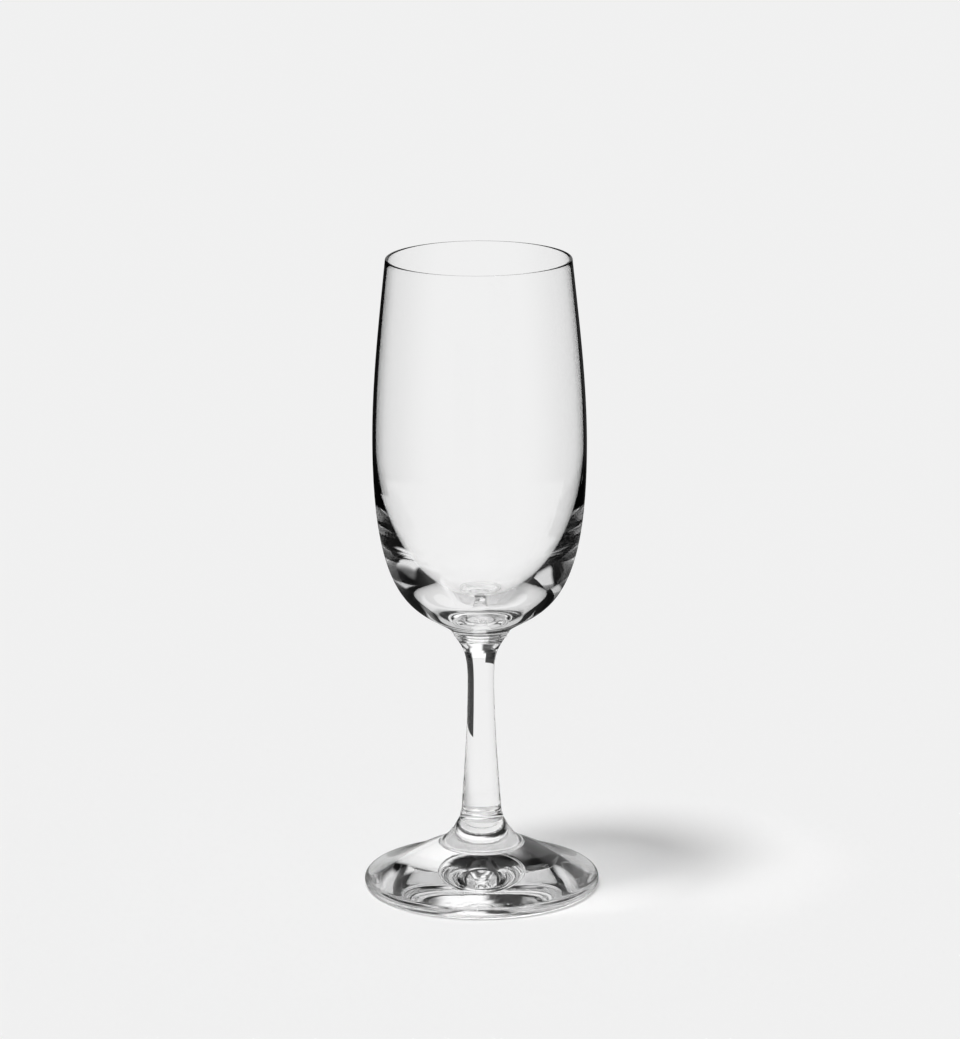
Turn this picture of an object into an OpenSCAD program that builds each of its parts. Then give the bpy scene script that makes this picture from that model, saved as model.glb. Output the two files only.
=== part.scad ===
// Champagne glass: a blown bowl, a solid drawn stem and a pressed round foot, fused at two flat seams.
// Millimetres, +Z up. The origin is on the table, under the centre of the foot.

/* [Bowl] */
// Height of the bowl, from the seam on the stem to the rim
bowl_h = 111.4; // [95:0.1:140]
// Outer diameter at the rim
rim_d = 54.4; // [40:0.1:62]
// Outer diameter at the belly, where the bowl is widest
belly_d = 62.8; // [52:0.1:90]
// Height of the belly above the seam on the stem
belly_h = 55.9; // [40:0.1:75]
// Thickness of the wall at the rim
rim_wall = 0.85; // [0.6:0.05:2]
// Thickness of the wall at the belly
belly_wall = 1.05; // [0.7:0.05:2.5]
// Thickness of the solid glass between the seam and the hollow
base_wall = 7.6; // [6:0.1:12]

/* [Bowl curves] */
// Angle at which the underside leaves the seam, above the horizontal
underside_lean = 40; // [20:1:60]
// Length of the underside's straight pull, as a share of the step from the seam to the belly
underside_pull = 0.49; // [0.2:0.01:0.8]
// Fullness of the underside below the belly
underside_full = 0.92; // [0.5:0.01:1]
// Fullness of the hollow's floor
floor_full = 0.58; // [0.3:0.01:0.8]
// Fullness of the hollow's side below the belly
side_full = 0.62; // [0.4:0.01:0.9]
// Fullness of the wall above the belly
wall_full = 0.34; // [0.1:0.01:0.6]
// Inward lean of the wall at the rim
rim_lean = 6; // [0:0.5:15]

/* [Stem] */
// Length of the stem, from the seam on the foot to the seam on the bowl
stem_h = 56.2; // [35:0.1:110]
// Diameter at the seam on the bowl
stem_top_d = 17.4; // [12:0.1:24]
// Diameter at the waist, where the stem is thinnest
waist_d = 7.8; // [6:0.1:11]
// Distance from the seam on the bowl down to the waist
waist_drop = 15.6; // [10:0.1:25]
// Diameter at the seam on the foot
stem_base_d = 11.9; // [11:0.1:18]
// Angle at which the flare leaves the bowl's seam, below the horizontal
flare_lean = 60; // [40:1:80]
// Outward lean of the stem at the seam on the foot
stem_lean = 4; // [0:0.5:12]
// Number of fine rings under the bowl's seam
joint_rings = 2; // [1:1:3]
// Distance from one fine ring to the next
joint_pitch = 1.3; // [0.9:0.1:1.6]
// Thickness of each fine ring's bead
joint_ring_t = 0.4; // [0.2:0.05:0.7]

/* [Foot] */
// Height of the foot, from the table to the seam on the stem
foot_h = 22.4; // [18:0.1:32]
// Outer diameter of the foot
foot_d = 70; // [56:0.1:90]
// Height of the plain collar under the seam
collar_h = 1.9; // [0.5:0.1:3]
// How far the collar's top stands out past the stem
collar_step = 0.2; // [0.05:0.05:0.6]
// How far the collar widens from its top to the crease under it
collar_flare = 0.3; // [0:0.05:1]
// Diameter of the fine moulded ring where the flare meets the plate
ring_d = 24.6; // [21:0.1:34]
// Height of the ring above the table
ring_h = 12.9; // [9:0.1:14]
// Thickness of the ring's bead
ring_t = 0.5; // [0.2:0.05:1.2]
// Thickness of the foot's rounded edge
edge_t = 3.2; // [2:0.1:5]
// Width of the flat ring that the foot stands on
rest_w = 2.4; // [1:0.1:6]
// Height of the hollow under the foot, at its centre
hollow_h = 3.8; // [0.5:0.1:5]

/* [Foot curves] */
// Fall of the flare where it leaves the collar
neck_fall = 62; // [45:1:80]
// Fall of the flare where it reaches the ring
ring_fall = 34; // [25:1:45]
// Fall of the plate where it leaves the ring
plate_fall = 22; // [10:1:35]
// Fall of the plate at the edge
edge_fall = 15; // [5:1:20]
// Straight pull of the hollow from the resting ring, as a share of the ring's radius
hollow_pull = 0.4; // [0.2:0.01:0.6]
// Rise of that pull, as a share of the hollow's height
hollow_rise = 0.1; // [0:0.01:0.6]
// Fullness of the hollow's crown
crown_full = 0.4; // [0.2:0.01:0.6]

/* [Hidden] */
$fn = 160;

// Steps along a curve, and along a small rounded edge
curve_steps = 18;
round_steps = 8;
// Share of a run that a smooth curve's straight pull takes
smooth_pull = 0.33;
flare_pull = 0.22;
waist_pull = 0.59;
base_pull = 0.25;

glass_colour = [0.87, 0.92, 0.93];
glass_alpha = 0.45;

// Seam heights above the table
foot_seam_z = foot_h;
bowl_seam_z = foot_h + stem_h;

// A point at a distance and an angle from another, in the profile plane of radius and height
function away(p, angle, distance) = p + distance * [cos(angle), sin(angle)];

// Points of a cubic curve from a to d, pulled towards b and c
function curve(a, b, c, d) = [
    for (i = [0:curve_steps])
        let (t = i / curve_steps, s = 1 - t)
            s * s * s * a + 3 * s * s * t * b + 3 * s * t * t * c + t * t * t * d
];

// Points of a round of radius r about p, from one angle to another
function round_edge(p, r, from, to) = [
    for (i = [0:round_steps])
        away(p, from + (to - from) * i / round_steps, r)
];

// A list without its first point, for a curve that goes on from another
function rest(points) = [for (i = [1:len(points) - 1]) points[i]];

// Outer or inner face of the wall above the belly, from the belly up to the rim
function upper_wall(belly_r, rim_r, rim_z) =
    let (rise = rim_z - belly_h)
        curve(
            [belly_r, belly_h],
            [belly_r, belly_h + wall_full * rise],
            away([rim_r, rim_z], rim_lean - 90, smooth_pull * rise),
            [rim_r, rim_z]
        );

module bowl() {
    seam_r = stem_top_d / 2;
    belly_r = belly_d / 2;
    hollow_r = belly_r - belly_wall;
    rim_r = rim_wall / 2;
    rim_centre = [rim_d / 2 - rim_r, bowl_h - rim_r];

    underside = curve(
        [seam_r, 0],
        away([seam_r, 0], underside_lean, underside_pull * (belly_r - seam_r)),
        [belly_r, belly_h * (1 - underside_full)],
        [belly_r, belly_h]
    );
    outer_wall = upper_wall(belly_r, rim_centre.x + rim_r, rim_centre.y);
    rim = round_edge(rim_centre, rim_r, 0, 180);
    inner_wall = upper_wall(hollow_r, rim_centre.x - rim_r, rim_centre.y);
    hollow = curve(
        [0, base_wall],
        [floor_full * hollow_r, base_wall],
        [hollow_r, belly_h - side_full * (belly_h - base_wall)],
        [hollow_r, belly_h]
    );
    inside = concat(hollow, rest(inner_wall));

    color(glass_colour, glass_alpha)
        translate([0, 0, bowl_seam_z])
            rotate_extrude()
                polygon(concat(
                    [[0, 0]],
                    underside,
                    rest(outer_wall),
                    rest(rim),
                    rest([for (i = [len(inside) - 1:-1:0]) inside[i]])
                ));
}

module stem() {
    top = [stem_top_d / 2, stem_h];
    waist = [waist_d / 2, stem_h - waist_drop];
    base = [stem_base_d / 2, 0];
    flare_end = away(top, flare_lean + 180, joint_rings * joint_pitch);

    shaft = curve(
        base,
        away(base, 90 + stem_lean, base_pull * waist.y),
        waist - [0, smooth_pull * waist.y],
        waist
    );
    flare = curve(
        waist,
        waist + [0, waist_pull * waist_drop],
        away(flare_end, flare_lean + 180, flare_pull * waist_drop),
        flare_end
    );
    rings = [
        for (i = [joint_rings - 1:-1:0])
            each round_edge(
                away(top, flare_lean + 180, (i + 0.5) * joint_pitch),
                joint_ring_t / 2,
                flare_lean - 180,
                flare_lean
            )
    ];

    color(glass_colour, glass_alpha)
        translate([0, 0, foot_seam_z])
            rotate_extrude()
                polygon(concat([[0, 0]], shaft, rest(flare), rings, [top, [0, stem_h]]));
}

module foot() {
    seam = [stem_base_d / 2 + collar_step, foot_h];
    crease = seam + [collar_flare, -collar_h];
    ring = [ring_d / 2, ring_h];
    ring_r = ring_t / 2;
    ring_top = away(ring, 180 - ring_fall, ring_r);
    ring_base = away(ring, -ring_fall, ring_r);
    edge_r = edge_t / 2;
    edge_centre = [foot_d / 2 - edge_r, edge_r];
    brim = away(edge_centre, 90 - edge_fall, edge_r);
    rest_r = edge_centre.x - rest_w;

    flare_run = norm(ring_top - crease);
    flare = curve(
        crease,
        away(crease, -neck_fall, smooth_pull * flare_run),
        away(ring_top, 180 - ring_fall, smooth_pull * flare_run),
        ring_top
    );
    bead = round_edge(ring, ring_r, 180 - ring_fall, -ring_fall);
    plate_run = norm(brim - ring_base);
    plate = curve(
        ring_base,
        away(ring_base, -plate_fall, smooth_pull * plate_run),
        away(brim, 180 - edge_fall, smooth_pull * plate_run),
        brim
    );
    edge = round_edge(edge_centre, edge_r, 90 - edge_fall, -90);
    hollow = curve(
        [rest_r, 0],
        [rest_r * (1 - hollow_pull), hollow_h * hollow_rise],
        [rest_r * crown_full, hollow_h],
        [0, hollow_h]
    );

    color(glass_colour, glass_alpha)
        rotate_extrude()
            polygon(concat(
                [[0, foot_h], seam],
                flare,
                rest(bead),
                rest(plate),
                rest(edge),
                hollow
            ));
}

bowl();
stem();
foot();
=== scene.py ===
import math

import bmesh
import bpy
from bpy.props import FloatProperty, FloatVectorProperty, IntProperty, PointerProperty
from mathutils import Matrix, Vector
from mathutils.geometry import interpolate_bezier


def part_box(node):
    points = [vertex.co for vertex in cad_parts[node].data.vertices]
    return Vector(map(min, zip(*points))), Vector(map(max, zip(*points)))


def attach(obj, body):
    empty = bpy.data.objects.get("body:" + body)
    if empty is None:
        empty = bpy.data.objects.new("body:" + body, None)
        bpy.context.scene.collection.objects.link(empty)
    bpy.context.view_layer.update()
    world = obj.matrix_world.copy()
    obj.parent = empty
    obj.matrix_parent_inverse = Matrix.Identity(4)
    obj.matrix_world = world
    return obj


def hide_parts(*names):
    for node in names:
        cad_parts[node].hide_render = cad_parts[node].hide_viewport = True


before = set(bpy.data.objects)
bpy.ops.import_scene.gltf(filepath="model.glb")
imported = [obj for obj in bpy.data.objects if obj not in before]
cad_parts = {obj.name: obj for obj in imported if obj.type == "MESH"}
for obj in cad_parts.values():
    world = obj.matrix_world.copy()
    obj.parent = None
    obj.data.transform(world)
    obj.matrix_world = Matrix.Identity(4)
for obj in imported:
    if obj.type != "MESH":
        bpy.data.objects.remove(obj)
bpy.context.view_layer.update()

bl_info = {
    "name": "Champagne Glass",
    "version": (1, 0, 0),
    "blender": (4, 5, 0),
    "location": "3D View > Sidebar > Glass",
    "description": "A clear champagne glass on a pale studio floor, turned from its profile curves",
    "category": "Object",
}

BOWL_LOW, BOWL_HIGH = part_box("bowl")
STEM_LOW, STEM_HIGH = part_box("stem")
FOOT_LOW, FOOT_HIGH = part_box("foot")

# The picture in pixels, and the camera's sensor in millimetres
IMAGE_WIDTH = 960
IMAGE_HEIGHT = 1039
SENSOR = 36

# Points that are closer than this are one, and a face this close to a seam lies in it
FUSED = 1e-7
# Share of a run that a smooth curve's straight pull takes
SMOOTH_PULL = 0.33
# Steps along a curve, along the curves of the bowl's base, and along a round edge
CURVE_STEPS = 40
FINE_STEPS = 56
ROUND_STEPS = 16

# Noise scales of the glass: slow waves, lines down the foot's neck with their stretch, and scuffs
WAVE_SCALE = 60
LINE_SCALE = 9
LINE_STRETCH = 30
SCUFF_SCALE = 900
# Heights over which the lines start, the lines stop and the scuffs stop, and noise levels of a scuff
LINE_START = (0.0105, 0.0135)
LINE_STOP = (0.0195, 0.021)
SCUFF_STOP = (0.0001, 0.0006)
SCUFF_LEVELS = (0.45, 0.75)
# Keeps a distance from the axis above zero in shader maths
OFF_AXIS = 1e-9

# Floor: half its width, its gap under the resting ring, and the height of the black paper on it
FLOOR_REACH = 6.0
FLOOR_DROP = 0.0002
PAPER_LIFT = 0.0005
# Clear films across the bowl's mouth: their number, the step between them and their corners
MOUTH_FILMS = 5
MOUTH_FILM_STEP = 0.00005
MOUTH_CORNERS = 96
# Steps along a black card
CARD_STEPS = 24

# Levels that the glass sees: black card, the floor behind the glass painted dim in the bowl's reflection,
# dark room and lit panel
CARD_LEVEL = 0.005
DIM_FLOOR = 0.03
DARK_ROOM = 0.005
PANEL_LEVEL = 1.1
# Share that the room loses in the glass's outer face
OUTER_LOSS = 0.65
# Light on the floor through the glass: lamp's level, what two more walls take off it, and loss of the fill
GLOW_LEVEL = 1.2
GLOW_LOSS = 0.5
FILL_LOSS = 0.1
# Lengths of the rays over which the painted dim reflection of the floor behind the glass sets in
DIM_RAYS = (0.33, 0.38)
# Edges of the stage's front, in degrees round from -Y
FRONT_EDGES = (100, 40)
# Lit ceiling in degrees: its tilt from straight up, the turn of that tilt, and its outer and inner edge
CEILING_TILT = 18
CEILING_TURN = 315
CEILING_EDGES = (42, 34)
# Softness of a lit panel's edges, in degrees
PANEL_SOFT = 4
# Bounces of light in the glass, and how many of them are reflections
LIGHT_BOUNCES = 24
MIRROR_BOUNCES = 16

# Lit panels of the room: level, then turn of the middle, half width, lower and upper height, in degrees
ROOM_PANELS = (
    (1.0, 82, 15, -20, 18),
    (1.0, 97, 8, -20, 9),
    (1.0, 78, 15, 12, 32),
    (0.8, -6, 20, 17, 60),
    (0.55, 127, 9, 8, 30),
    (0.65, 162, 14, -5, 19),
)
# Black cards round the glass: first and last turn in degrees, then distance and height of the two edges
BLACK_CARDS = {
    "card_right": (14, 67, (0.25, PAPER_LIFT), (FLOOR_REACH, PAPER_LIFT)),
    "card_right_near": (10, 67, (0.12, PAPER_LIFT), (0.25, PAPER_LIFT)),
    "card_left": (102, 150, (0.158, 0.05), (0.158, 0.15)),
    "card_left_far": (104, 150, (0.7, PAPER_LIFT), (FLOOR_REACH, PAPER_LIFT)),
}


class BowlSizes(bpy.types.PropertyGroup):
    """Sizes of the bowl that its box doesn't give"""

    rim_radius: FloatProperty(
        name="Rim radius", description="Outer radius at the rim", default=0.0272, unit="LENGTH"
    )
    belly_height: FloatProperty(
        name="Belly height", description="From the seam on the stem up to the widest place",
        default=0.0559, unit="LENGTH",
    )
    rim_wall: FloatProperty(
        name="Rim wall", description="Thickness of the wall at the rim", default=0.00085, unit="LENGTH"
    )
    belly_wall: FloatProperty(
        name="Belly wall", description="Thickness of the wall at the belly", default=0.00105, unit="LENGTH"
    )
    base_wall: FloatProperty(
        name="Base", description="Solid glass between the seam and the hollow",
        default=0.0076, unit="LENGTH",
    )
    underside_lean: FloatProperty(
        name="Underside lean", description="Angle at which the underside leaves the seam",
        default=math.radians(40), subtype="ANGLE",
    )
    underside_pull: FloatProperty(
        name="Underside pull", description="Straight pull of the underside, as a share of its width",
        default=0.49,
    )
    underside_full: FloatProperty(
        name="Underside fullness", description="Fullness of the underside below the belly", default=0.92
    )
    floor_full: FloatProperty(
        name="Floor fullness", description="Fullness of the hollow's floor", default=0.58
    )
    side_full: FloatProperty(
        name="Side fullness", description="Fullness of the hollow's side below the belly", default=0.62
    )
    wall_full: FloatProperty(
        name="Wall fullness", description="Fullness of the wall above the belly", default=0.34
    )
    rim_lean: FloatProperty(
        name="Rim lean", description="Inward lean of the wall at the rim",
        default=math.radians(6), subtype="ANGLE",
    )


class StemSizes(bpy.types.PropertyGroup):
    """Sizes of the stem that its box doesn't give"""

    waist_radius: FloatProperty(
        name="Waist radius", description="Radius where the stem is thinnest", default=0.0039, unit="LENGTH"
    )
    waist_drop: FloatProperty(
        name="Waist drop", description="From the seam on the bowl down to the waist",
        default=0.0156, unit="LENGTH",
    )
    base_radius: FloatProperty(
        name="Base radius", description="Radius at the seam on the foot", default=0.00595, unit="LENGTH"
    )
    flare_lean: FloatProperty(
        name="Flare lean", default=math.radians(60), subtype="ANGLE",
        description="Angle at which the flare leaves the bowl's seam, below the horizontal",
    )
    flare_pull: FloatProperty(
        name="Flare pull", description="Straight pull of the flare, as a share of the waist drop",
        default=0.22,
    )
    waist_pull: FloatProperty(
        name="Waist pull", description="Straight pull above the waist, as a share of the waist drop",
        default=0.59,
    )
    base_lean: FloatProperty(
        name="Base lean", description="Outward lean at the seam on the foot",
        default=math.radians(4), subtype="ANGLE",
    )
    base_pull: FloatProperty(
        name="Base pull", description="Straight pull at the foot, as a share of the shaft", default=0.25
    )
    joint_rings: IntProperty(
        name="Fine rings", description="Number of fine rings under the bowl's seam", default=2, min=0, max=3
    )
    joint_pitch: FloatProperty(
        name="Ring pitch", description="Distance from one fine ring to the next",
        default=0.0013, unit="LENGTH",
    )
    joint_bead: FloatProperty(
        name="Fine ring bead", description="Radius of each fine ring's bead", default=0.0002, unit="LENGTH"
    )


class FootSizes(bpy.types.PropertyGroup):
    """Sizes of the foot that its box doesn't give"""

    collar_height: FloatProperty(
        name="Collar height", description="Plain collar under the seam on the stem",
        default=0.0019, unit="LENGTH",
    )
    collar_step: FloatProperty(
        name="Collar step", description="How far the collar's top stands out past the stem",
        default=0.0002, unit="LENGTH",
    )
    collar_flare: FloatProperty(
        name="Collar flare", description="How far the collar widens downwards",
        default=0.0003, unit="LENGTH",
    )
    ring_radius: FloatProperty(
        name="Ring radius", description="Radius of the fine moulded ring", default=0.0123, unit="LENGTH"
    )
    ring_height: FloatProperty(
        name="Ring height", description="Height of the moulded ring above the table",
        default=0.0129, unit="LENGTH",
    )
    ring_bead: FloatProperty(
        name="Ring bead", description="Radius of the moulded ring's bead", default=0.00025, unit="LENGTH"
    )
    edge_thickness: FloatProperty(
        name="Edge", description="Thickness of the rounded edge", default=0.0032, unit="LENGTH"
    )
    rest_width: FloatProperty(
        name="Resting ring", description="Width of the flat ring that the foot stands on",
        default=0.0024, unit="LENGTH",
    )
    hollow_height: FloatProperty(
        name="Hollow", description="Height of the hollow under the foot", default=0.0038, unit="LENGTH"
    )
    neck_fall: FloatProperty(
        name="Neck fall", description="Fall of the flare where it leaves the collar",
        default=math.radians(62), subtype="ANGLE",
    )
    ring_fall: FloatProperty(
        name="Ring fall", description="Fall of the flare where it reaches the ring",
        default=math.radians(34), subtype="ANGLE",
    )
    plate_fall: FloatProperty(
        name="Plate fall", description="Fall of the plate where it leaves the ring",
        default=math.radians(22), subtype="ANGLE",
    )
    edge_fall: FloatProperty(
        name="Edge fall", description="Fall of the plate at the edge",
        default=math.radians(15), subtype="ANGLE",
    )
    hollow_pull: FloatProperty(
        name="Hollow pull", default=0.4,
        description="Straight pull of the hollow from the resting ring, as a share of the ring's radius",
    )
    hollow_rise: FloatProperty(
        name="Hollow rise", description="Rise of that pull, as a share of the hollow's height", default=0.1
    )
    crown_full: FloatProperty(
        name="Crown fullness", description="Fullness of the hollow's crown", default=0.4
    )


class GlassFinish(bpy.types.PropertyGroup):
    """Finish of the clear glass"""

    turn_steps: IntProperty(
        name="Turn steps", description="Faces round each turned piece", default=240, min=24, max=360
    )
    tint: FloatVectorProperty(
        name="Tint", description="Colour of the glass", subtype="COLOR", size=3, default=(1.0, 1.0, 1.0)
    )
    ior: FloatProperty(name="IOR", description="Index of refraction of the glass", default=1.5)
    relief: FloatProperty(
        name="Relief", description="Full depth of the waves and lines", default=0.0005, unit="LENGTH"
    )
    waves: FloatProperty(name="Waves", description="Share of the relief in the slow waves", default=0.02)
    lines: FloatProperty(
        name="Neck lines", description="Share of the relief in the lines down the foot's neck", default=0.12
    )
    scuffs: FloatProperty(
        name="Scuffs", description="Roughness of the scuffs on the resting ring", default=0.3
    )


class StageLook(bpy.types.PropertyGroup):
    """Floor, lights and camera"""

    floor_colour: FloatVectorProperty(
        name="Floor", description="Colour of the pale floor", subtype="COLOR", size=3,
        default=(0.875, 0.875, 0.875),
    )
    key_share: FloatProperty(
        name="Key share", description="Share of the floor's light that comes from the key lamp", default=0.5
    )
    key_elevation: FloatProperty(
        name="Key elevation", description="Height of the key lamp above the horizon",
        default=math.radians(73), subtype="ANGLE",
    )
    key_turn: FloatProperty(
        name="Key turn", description="Direction that the key lamp's light travels, round from +X",
        default=math.radians(32), subtype="ANGLE",
    )
    key_angle: FloatProperty(
        name="Key softness", description="Angular size of the key lamp",
        default=math.radians(13), subtype="ANGLE",
    )
    glow_angle: FloatProperty(
        name="Glow softness", default=math.radians(26), subtype="ANGLE",
        description="Angular size of the key lamp as light through the glass spreads it",
    )
    glow_shift: FloatProperty(
        name="Glow shift", description="How far that spread light leans away from the camera", default=0.08
    )
    camera_distance: FloatProperty(
        name="Camera distance", description="From the camera to the glass along the table",
        default=1.294, unit="LENGTH",
    )
    camera_height: FloatProperty(
        name="Camera height", description="Height of the camera above the table",
        default=0.4415, unit="LENGTH",
    )
    camera_pitch: FloatProperty(
        name="Camera pitch", description="Downward tilt of the camera",
        default=math.radians(14.29), subtype="ANGLE",
    )
    camera_roll: FloatProperty(
        name="Camera roll", description="Turn of the camera about its line of sight",
        default=math.radians(-0.29), subtype="ANGLE",
    )
    focal_pixels: FloatProperty(
        name="Focal length in pixels", description="Focal length in pixels of the 960 by 1039 picture",
        default=4547,
    )


class GlassScene(bpy.types.PropertyGroup):
    """All the settings of the glass and its stage"""

    bowl: PointerProperty(type=BowlSizes)
    stem: PointerProperty(type=StemSizes)
    foot: PointerProperty(type=FootSizes)
    finish: PointerProperty(type=GlassFinish)
    stage: PointerProperty(type=StageLook)


class Wire:
    """A socket of a node tree. Arithmetic on it adds Math nodes, and node() adds any other node."""

    def __init__(self, tree, socket=None):
        self.tree = tree
        self.socket = socket

    def node(self, kind, settings=None, inputs=None, output=0):
        made = self.tree.nodes.new(kind)
        for name, value in (settings or {}).items():
            setattr(made, name, value)
        for name, value in (inputs or {}).items():
            if isinstance(value, Wire):
                self.tree.links.new(value.socket, made.inputs[name])
            else:
                made.inputs[name].default_value = value
        return Wire(self.tree, made.outputs[output] if len(made.outputs) else None)

    def other(self, output):
        """Another output of the same node"""
        return Wire(self.tree, self.socket.node.outputs[output])

    def math(self, operation, *values):
        return self.node("ShaderNodeMath", {"operation": operation}, dict(enumerate(values)))

    def ramp(self, low, high):
        """0 below low and 1 above high, smooth between them"""
        return self.node(
            "ShaderNodeMapRange", {"interpolation_type": "SMOOTHSTEP"},
            {"Value": self, "From Min": low, "From Max": high},
        )

    def over(self, level):
        """1 above a level and 0 below it"""
        return self.math("GREATER_THAN", self, level)

    def at_least(self, count):
        """1 from a whole number up, and 0 below it"""
        return self.over(count - 0.5)

    def larger(self, other):
        return self.math("MAXIMUM", self, other)

    def root(self):
        return self.math("SQRT", self)

    def __add__(self, other):
        return self.math("ADD", self, other)

    def __mul__(self, other):
        return self.math("MULTIPLY", self, other)

    def __truediv__(self, other):
        return self.math("DIVIDE", self, other)

    def __rsub__(self, other):
        return self.math("SUBTRACT", other, self)

    __radd__ = __add__
    __rmul__ = __mul__


def new_material(name):
    material = bpy.data.materials.new(name)
    material.use_nodes = True
    material.node_tree.nodes.clear()
    return material, Wire(material.node_tree)


def from_axis(across, along):
    """Distance from the upright axis"""
    return (across * across + along * along + OFF_AXIS).root()


def clear_glass(finish):
    """Clear polished glass: slow waves, fine lines down the foot's neck and a scuffed resting ring"""
    material, start = new_material("polished_glass")
    place = start.node("ShaderNodeTexCoord", output="Object")
    wave = start.node("ShaderNodeTexNoise", None, {"Vector": place, "Scale": WAVE_SCALE, "Detail": 1})

    across = start.node("ShaderNodeSeparateXYZ", None, {0: place})
    along = across.other("Y")
    height = across.other("Z")
    radius = from_axis(across, along)
    spoke = start.node(
        "ShaderNodeCombineXYZ", None,
        {"X": across / radius, "Y": along / radius, "Z": height * LINE_STRETCH},
    )
    line = start.node("ShaderNodeTexNoise", None, {"Vector": spoke, "Scale": LINE_SCALE, "Detail": 3})
    on_neck = height.ramp(*LINE_START) * (1 - height.ramp(*LINE_STOP))

    scuff = start.node("ShaderNodeTexNoise", None, {"Vector": place, "Scale": SCUFF_SCALE, "Detail": 2})
    at_rest = 1 - height.ramp(*SCUFF_STOP)
    relief = finish.waves * wave + finish.lines * on_neck * line
    bump = start.node(
        "ShaderNodeBump", None, {"Strength": 1, "Distance": finish.relief, "Height": relief}
    )
    surface = start.node(
        "ShaderNodeBsdfPrincipled", None,
        {
            "Base Color": (*finish.tint, 1),
            "Roughness": at_rest * scuff.ramp(*SCUFF_LEVELS) * finish.scuffs,
            "IOR": finish.ior,
            "Transmission Weight": 1,
            "Normal": bump,
        },
    )
    start.node("ShaderNodeOutputMaterial", None, {"Surface": surface})
    return material


def see_through(name):
    """A surface that shows nothing: a seam where two pieces were fused hot, or a film across the mouth"""
    material, start = new_material(name)
    surface = start.node("ShaderNodeBsdfTransparent")
    start.node("ShaderNodeOutputMaterial", None, {"Surface": surface})
    return material


def away(point, angle, distance):
    """A point at a distance and an angle from another, in the plane of radius and height"""
    return point + distance * Vector((math.cos(angle), math.sin(angle)))


def curve(start, start_pull, end_pull, end, steps=CURVE_STEPS):
    """Points of a cubic curve in the plane of radius and height"""
    knots = [point.to_3d() for point in (start, start_pull, end_pull, end)]
    return [point.xy for point in interpolate_bezier(*knots, steps)]


def round_edge(centre, radius, first, last):
    """Points of a round about a centre, from one angle to another"""
    step = (last - first) / ROUND_STEPS
    return [away(centre, first + step * i, radius) for i in range(ROUND_STEPS + 1)]


def mesh_object(name, bm, *materials):
    """An object in the scene, made from a bmesh"""
    mesh = bpy.data.meshes.new(name)
    bm.to_mesh(mesh)
    bm.free()
    for material in materials:
        mesh.materials.append(material)
    made = bpy.data.objects.new(name, mesh)
    bpy.context.scene.collection.objects.link(made)
    return made


def turned(name, outline, seams, steps, materials):
    """A closed piece turned about the axis from its outline. Seam discs get the second material."""
    bm = bmesh.new()
    verts = [bm.verts.new((p.x, 0, p.y)) for p in outline]
    edges = [bm.edges.new(pair) for pair in zip(verts, verts[1:])]
    bmesh.ops.spin(
        bm, geom=verts + edges, cent=(0, 0, 0), axis=(0, 0, 1), angle=2 * math.pi, steps=steps,
        use_merge=True, use_duplicate=False,
    )
    bmesh.ops.remove_doubles(bm, verts=bm.verts, dist=FUSED)
    bmesh.ops.recalc_face_normals(bm, faces=bm.faces)
    fused = []
    for face in bm.faces:
        face.smooth = True
        middle = face.calc_center_median()
        if any(abs(middle.z - seam.y) < FUSED and middle.xy.length < seam.x for seam in seams):
            face.material_index = 1
            fused.append(face)
    for edge in {edge for face in fused for edge in face.edges}:
        edge.smooth = all(face.material_index for face in edge.link_faces)
    return mesh_object(name, bm, *materials)


def settings():
    return bpy.context.scene.champagne_glass


def glass_materials():
    """The glass and its seams, made once and shared by the three pieces"""
    found = [bpy.data.materials.get(name) for name in ("polished_glass", "fused_seam")]
    if None in found:
        found = [clear_glass(settings().finish), see_through("fused_seam")]
    return found


def dress(piece, node):
    """The piece rides on the glass's one body, and stands for its node"""
    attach(piece, "root")
    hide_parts(node)


def upper_wall(sizes, belly, rim):
    """One face of the wall from the belly up to the rim"""
    rise = rim.y - belly.y
    return curve(
        belly,
        belly + Vector((0, sizes.wall_full * rise)),
        away(rim, sizes.rim_lean - math.pi / 2, SMOOTH_PULL * rise),
        rim,
    )


class GLASS_OT_bowl(bpy.types.Operator):
    """Turn the bowl: thick base, full underside, thin wall and rounded rim"""

    bl_idname = "glass.bowl"
    bl_label = "Bowl"

    def execute(self, context):
        sizes = settings().bowl
        seam = Vector((STEM_HIGH.x, BOWL_LOW.z))
        belly = Vector((BOWL_HIGH.x, BOWL_LOW.z + sizes.belly_height))
        floor = Vector((0, BOWL_LOW.z + sizes.base_wall))
        hollow = Vector((belly.x - sizes.belly_wall, belly.y))
        lip = sizes.rim_wall / 2
        rim = Vector((sizes.rim_radius - lip, BOWL_HIGH.z - lip))

        underside = curve(
            seam,
            away(seam, sizes.underside_lean, sizes.underside_pull * (belly.x - seam.x)),
            belly - Vector((0, sizes.underside_full * sizes.belly_height)),
            belly,
            FINE_STEPS,
        )
        outside = upper_wall(sizes, belly, rim + Vector((lip, 0)))
        lip_round = round_edge(rim, lip, 0, math.pi)
        inside = upper_wall(sizes, hollow, rim - Vector((lip, 0)))
        bottom = curve(
            floor,
            floor + Vector((sizes.floor_full * hollow.x, 0)),
            hollow - Vector((0, sizes.side_full * (hollow.y - floor.y))),
            hollow,
            FINE_STEPS,
        )
        outer = [Vector((0, seam.y)), *underside, *outside[1:], *lip_round[1:]]
        outline = [*outer, *inside[-2::-1], *bottom[-2::-1]]
        piece = turned("bowl_glass", outline, [seam], settings().finish.turn_steps, glass_materials())
        dress(piece, "bowl")
        return {"FINISHED"}


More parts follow.
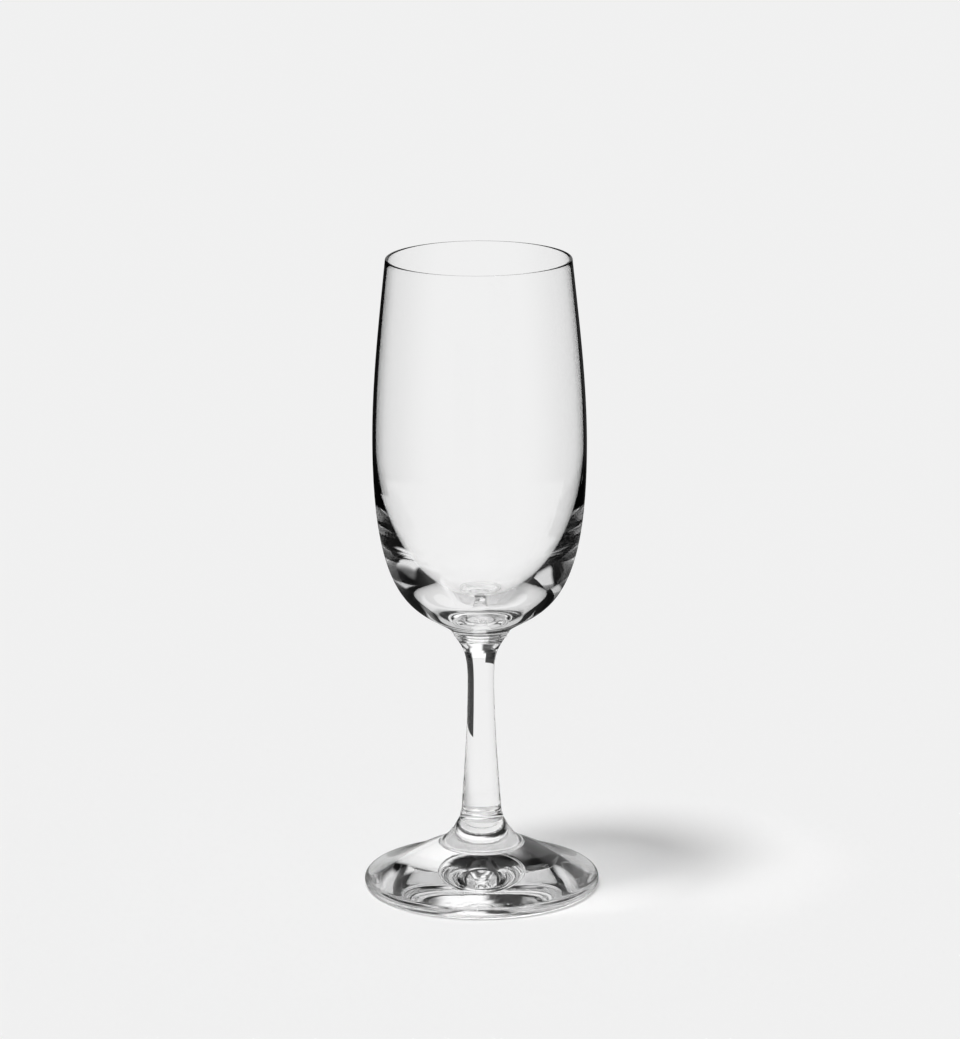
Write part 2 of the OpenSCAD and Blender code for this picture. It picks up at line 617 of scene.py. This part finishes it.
class GLASS_OT_stem(bpy.types.Operator):
    """Turn the stem: flared under the bowl, thin at the waist, wider at the foot"""

    bl_idname = "glass.stem"
    bl_label = "Stem"

    def execute(self, context):
        sizes = settings().stem
        top = Vector((STEM_HIGH.x, STEM_HIGH.z))
        base = Vector((sizes.base_radius, STEM_LOW.z))
        waist = Vector((sizes.waist_radius, top.y - sizes.waist_drop))
        run = waist.y - base.y
        down_flare = math.pi + sizes.flare_lean
        flare_end = away(top, down_flare, sizes.joint_rings * sizes.joint_pitch)
        shaft = curve(
            base,
            away(base, math.pi / 2 + sizes.base_lean, sizes.base_pull * run),
            waist - Vector((0, SMOOTH_PULL * run)),
            waist,
        )
        flare = curve(
            waist,
            waist + Vector((0, sizes.waist_pull * sizes.waist_drop)),
            away(flare_end, down_flare, sizes.flare_pull * sizes.waist_drop),
            flare_end,
        )
        rings = []
        for step in reversed(range(sizes.joint_rings)):
            centre = away(top, down_flare, (step + 0.5) * sizes.joint_pitch)
            rings += round_edge(centre, sizes.joint_bead, sizes.flare_lean - math.pi, sizes.flare_lean)
        outline = [Vector((0, base.y)), *shaft, *flare[1:], *rings, top, Vector((0, top.y))]
        piece = turned("stem_glass", outline, [base, top], settings().finish.turn_steps, glass_materials())
        dress(piece, "stem")
        return {"FINISHED"}


class GLASS_OT_foot(bpy.types.Operator):
    """Turn the foot: collar, flared neck, moulded ring, plate, rounded edge and hollow underside"""

    bl_idname = "glass.foot"
    bl_label = "Foot"

    def execute(self, context):
        sizes = settings().foot
        seam = Vector((settings().stem.base_radius, FOOT_HIGH.z))
        ledge = seam + Vector((sizes.collar_step, 0))
        crease = ledge + Vector((sizes.collar_flare, -sizes.collar_height))
        ring = Vector((sizes.ring_radius, sizes.ring_height))
        ring_top = away(ring, math.pi - sizes.ring_fall, sizes.ring_bead)
        ring_base = away(ring, -sizes.ring_fall, sizes.ring_bead)
        edge_radius = sizes.edge_thickness / 2
        edge_centre = Vector((FOOT_HIGH.x - edge_radius, FOOT_LOW.z + edge_radius))
        brim = away(edge_centre, math.pi / 2 - sizes.edge_fall, edge_radius)
        rest = Vector((edge_centre.x - sizes.rest_width, FOOT_LOW.z))
        dome = Vector((0, FOOT_LOW.z + sizes.hollow_height))

        flare_run = (ring_top - crease).length
        flare = curve(
            crease,
            away(crease, -sizes.neck_fall, SMOOTH_PULL * flare_run),
            away(ring_top, math.pi - sizes.ring_fall, SMOOTH_PULL * flare_run),
            ring_top,
        )
        bead = round_edge(ring, sizes.ring_bead, math.pi - sizes.ring_fall, -sizes.ring_fall)
        plate_run = (brim - ring_base).length
        plate = curve(
            ring_base,
            away(ring_base, -sizes.plate_fall, SMOOTH_PULL * plate_run),
            away(brim, math.pi - sizes.edge_fall, SMOOTH_PULL * plate_run),
            brim,
        )
        edge = round_edge(edge_centre, edge_radius, math.pi / 2 - sizes.edge_fall, -math.pi / 2)
        hollow = curve(
            rest,
            rest + Vector((-sizes.hollow_pull * rest.x, sizes.hollow_rise * sizes.hollow_height)),
            dome + Vector((sizes.crown_full * rest.x, 0)),
            dome,
        )
        top = [Vector((0, seam.y)), seam, ledge]
        outline = [*top, *flare, *bead[1:], *plate[1:], *edge[1:], *hollow]
        piece = turned("foot_glass", outline, [seam], settings().finish.turn_steps, glass_materials())
        dress(piece, "foot")
        return {"FINISHED"}


def in_front(across, along):
    """1 in front of the glass, on the side of -Y, and 0 behind it, smooth between them"""
    facing = -1 * along / from_axis(across, along)
    return facing.ramp(*(math.cos(math.radians(edge)) for edge in FRONT_EDGES))


def through_both_walls(path):
    """1 for what is seen through both walls of the bowl, off one mirroring face at most"""
    return path.other("Transmission Depth").at_least(4) * (1 - path.other("Glossy Depth").at_least(2))


def floor_material(look):
    """Pale floor, which shows a painted dim reflection behind the glass where a wall of the bowl mirrors it
    """
    material, start = new_material("pale_floor")
    pale = start.node("ShaderNodeBsdfDiffuse", None, {"Color": (*look.floor_colour, 1)})
    # Painted dark reflection: the floor is drawn dim where a wall of the bowl mirrors it
    dim = start.node("ShaderNodeEmission", None, {"Color": (DIM_FLOOR, DIM_FLOOR, DIM_FLOOR, 1)})
    place = start.node("ShaderNodeTexCoord", output="Object")
    across = start.node("ShaderNodeSeparateXYZ", None, {0: place})
    behind = 1 - in_front(across, across.other("Y"))
    path = start.node("ShaderNodeLightPath", output="Glossy Depth")
    depth = path.other("Transmission Depth")
    near = 1 - path.other("Ray Length").ramp(*DIM_RAYS)
    mirrored = path.at_least(1) * (1 - depth.at_least(3)) * (1 - depth.at_least(1) * near)
    surface = start.node("ShaderNodeMixShader", None, {0: mirrored * behind, 1: pale, 2: dim})
    start.node("ShaderNodeOutputMaterial", None, {"Surface": surface})
    return material


def card_material():
    """Black card for the glass's edges. It is clear through both walls, over the rim and to the floor."""
    material, start = new_material("black_card")
    path = start.node("ShaderNodeLightPath", output="Diffuse Depth")
    from_floor = path.at_least(1)
    over_rim = path.other("Transparent Depth").at_least(MOUTH_FILMS)
    unseen = through_both_walls(path).larger(from_floor).larger(over_rim)
    dark = start.node("ShaderNodeEmission", None, {"Color": (CARD_LEVEL, CARD_LEVEL, CARD_LEVEL, 1)})
    clear = start.node("ShaderNodeBsdfTransparent")
    surface = start.node("ShaderNodeMixShader", None, {0: unseen, 1: dark, 2: clear})
    start.node("ShaderNodeOutputMaterial", None, {"Surface": surface})
    return material


def key_travel(look):
    """Direction in which the key lamp's light travels"""
    level = math.cos(look.key_elevation)
    fall = math.sin(look.key_elevation)
    return Vector((level * math.cos(look.key_turn), level * math.sin(look.key_turn), -fall))


def room_panel(sight, turn, half_width, low, high):
    """1 on a panel of the room, given in degrees: its middle round from +X, half width and two heights"""
    across, along, up = sight
    towards = math.radians(turn)
    facing = (across * math.cos(towards) + along * math.sin(towards)) / from_axis(across, along)
    sides = [math.cos(math.radians(half_width + soft)) for soft in (PANEL_SOFT, -PANEL_SOFT)]
    bottom = [math.sin(math.radians(low + soft)) for soft in (-PANEL_SOFT, PANEL_SOFT)]
    top = [math.sin(math.radians(high + soft)) for soft in (-PANEL_SOFT, PANEL_SOFT)]
    return facing.ramp(*sides) * up.ramp(*bottom) * (1 - up.ramp(*top))


def studio_world(look):
    """Even fill and a soft glow for the floor. The glass sees a dark room with lit panels and a ceiling."""
    world = bpy.data.worlds.new("studio")
    world.use_nodes = True
    world.cycles.sampling_method = "NONE"
    world.node_tree.nodes.clear()
    start = Wire(world.node_tree)
    direction = start.node("ShaderNodeTexCoord", output="Generated")
    across = start.node("ShaderNodeSeparateXYZ", None, {0: direction})
    sight = (across, across.other("Y"), across.other("Z"))

    path = start.node("ShaderNodeLightPath", output="Is Camera Ray")
    depth = path.other("Transmission Depth")
    bounces = path.other("Glossy Depth")

    # What the glass sees of the room
    tilt = math.radians(CEILING_TILT)
    lean = math.radians(CEILING_TURN)
    aside = sight[0] * math.cos(lean) + sight[1] * math.sin(lean)
    overhead = sight[2] * math.cos(tilt) + aside * math.sin(tilt)
    lit = overhead.ramp(*(math.cos(math.radians(edge)) for edge in CEILING_EDGES))
    for level, *panel in ROOM_PANELS:
        lit = lit.larger(level * room_panel(sight, *panel))
    once = bounces.at_least(1) * (1 - bounces.at_least(2))
    front_wall = once * (1 - depth.at_least(3)) * in_front(sight[0], sight[1])
    pale = through_both_walls(path).larger(front_wall) * look.floor_colour[0]
    outer = path.other("Is Glossy Ray") * (1 - depth.at_least(1))
    room = ((DARK_ROOM + PANEL_LEVEL * lit) * (1 - OUTER_LOSS * outer)).larger(pale)

    # What lights the floor: an even fill, and the lamp's glow where light comes through the glass
    fill = 1 - look.key_share
    lamp = -key_travel(look)
    middle = (lamp + Vector((0, look.glow_shift, 0))).normalized()
    towards = sight[0] * middle.x + sight[1] * middle.y + sight[2] * middle.z
    glow_cos = math.cos(look.glow_angle / 2)
    glow_level = look.key_share / (2 * (1 - glow_cos) * lamp.z)
    from_floor = path.other("Diffuse Depth").at_least(1)
    in_glass = path.other("Is Transmission Ray")
    glow = towards.over(glow_cos) * glow_level * (GLOW_LEVEL - GLOW_LOSS * depth.at_least(3))
    on_floor = fill * (1 - FILL_LOSS * in_glass) + in_glass * glow

    seen = path * look.floor_colour[0] + (1 - path) * room
    strength = from_floor * on_floor + (1 - from_floor) * seen
    light = start.node("ShaderNodeBackground", None, {"Color": (1, 1, 1, 1), "Strength": strength})
    start.node("ShaderNodeOutputWorld", None, {"Surface": light})
    return world


def stage_mesh(name, bm, material):
    """An object of the stage, made from a bmesh"""
    thing = mesh_object(name, bm, material)
    return thing


def black_card(name, first_turn, last_turn, near, far, material):
    """Black card that only glass sees, swept round from an edge between two distances and heights"""
    bm = bmesh.new()
    ends = [bm.verts.new((distance, 0, height)) for distance, height in (near, far)]
    edge = bm.edges.new(ends)
    start = Matrix.Rotation(math.radians(first_turn), 3, "Z")
    bmesh.ops.rotate(bm, verts=ends, cent=(0, 0, 0), matrix=start)
    bmesh.ops.spin(
        bm, geom=[*ends, edge], cent=(0, 0, 0), axis=(0, 0, 1), steps=CARD_STEPS,
        angle=math.radians(last_turn - first_turn), use_duplicate=False,
    )
    card = stage_mesh(name, bm, material)
    card.visible_camera = False
    card.visible_diffuse = False
    card.visible_shadow = False


def mouth_films(sizes):
    """Films across the bowl's mouth that show nothing. Each counts once in a ray's Transparent Depth."""
    bm = bmesh.new()
    for film in range(1, MOUTH_FILMS + 1):
        height = BOWL_HIGH.z - film * MOUTH_FILM_STEP
        bmesh.ops.create_circle(
            bm, cap_ends=True, segments=MOUTH_CORNERS, radius=sizes.rim_radius - sizes.rim_wall,
            matrix=Matrix.Translation((0, 0, height)),
        )
    films = stage_mesh("mouth_films", bm, see_through("clear_film"))
    films.visible_diffuse = False
    films.visible_shadow = False


class GLASS_OT_stage(bpy.types.Operator):
    """Set the floor, the room, the black cards, the clear films, the lamp and the camera"""

    bl_idname = "glass.stage"
    bl_label = "Stage"

    def execute(self, context):
        look = settings().stage
        scene = context.scene
        scene.view_settings.view_transform = "Standard"
        scene.cycles.max_bounces = LIGHT_BOUNCES
        scene.cycles.transmission_bounces = LIGHT_BOUNCES
        scene.cycles.glossy_bounces = MIRROR_BOUNCES
        scene.cycles.transparent_max_bounces = LIGHT_BOUNCES
        scene.cycles.blur_glossy = 0
        scene.cycles.sample_clamp_indirect = 0
        scene.world = studio_world(look)
        bm = bmesh.new()
        bmesh.ops.create_grid(
            bm, x_segments=1, y_segments=1, size=FLOOR_REACH,
            matrix=Matrix.Translation((0, 0, -FLOOR_DROP)),
        )
        stage_mesh("floor", bm, floor_material(look))
        black = card_material()
        for name, place in BLACK_CARDS.items():
            black_card(name, *place, black)
        mouth_films(settings().bowl)

        key = bpy.data.lights.new("key", "SUN")
        key.energy = look.key_share * math.pi / math.sin(look.key_elevation)
        key.angle = look.key_angle
        key_object = bpy.data.objects.new("key", key)
        key_object.rotation_euler = key_travel(look).to_track_quat("-Z", "Y").to_euler()
        key_object.visible_glossy = False
        key_object.visible_transmission = False
        scene.collection.objects.link(key_object)

        camera = bpy.data.cameras.new("camera")
        camera.sensor_width = SENSOR
        camera.lens = look.focal_pixels / max(IMAGE_WIDTH, IMAGE_HEIGHT) * camera.sensor_width
        camera_object = bpy.data.objects.new("camera", camera)
        camera_object.location = (0, -look.camera_distance, look.camera_height)
        camera_object.rotation_mode = "ZXY"
        camera_object.rotation_euler = (math.pi / 2 - look.camera_pitch, 0, look.camera_roll)
        scene.collection.objects.link(camera_object)
        scene.camera = camera_object
        return {"FINISHED"}


class GLASS_PT_panel(bpy.types.Panel):
    """Sizes, finish and stage of the glass"""

    bl_idname = "GLASS_PT_panel"
    bl_label = "Champagne glass"
    bl_space_type = "VIEW_3D"
    bl_region_type = "UI"
    bl_category = "Glass"

    def draw(self, context):
        for group in ("bowl", "stem", "foot", "finish", "stage"):
            box = self.layout.box()
            values = getattr(settings(), group)
            for name in values.__annotations__:
                box.prop(values, name)
            if group != "finish":
                box.operator(f"glass.{group}")


CLASSES = (
    BowlSizes, StemSizes, FootSizes, GlassFinish, StageLook, GlassScene,
    GLASS_OT_bowl, GLASS_OT_stem, GLASS_OT_foot, GLASS_OT_stage, GLASS_PT_panel,
)


def register():
    for cls in CLASSES:
        bpy.utils.register_class(cls)
    bpy.types.Scene.champagne_glass = PointerProperty(type=GlassScene)


def unregister():
    del bpy.types.Scene.champagne_glass
    for cls in reversed(CLASSES):
        bpy.utils.unregister_class(cls)


def main():
    register()
    bpy.ops.glass.stage()
    bpy.ops.glass.bowl()
    bpy.ops.glass.stem()
    bpy.ops.glass.foot()


if __name__ == "__main__":
    main()
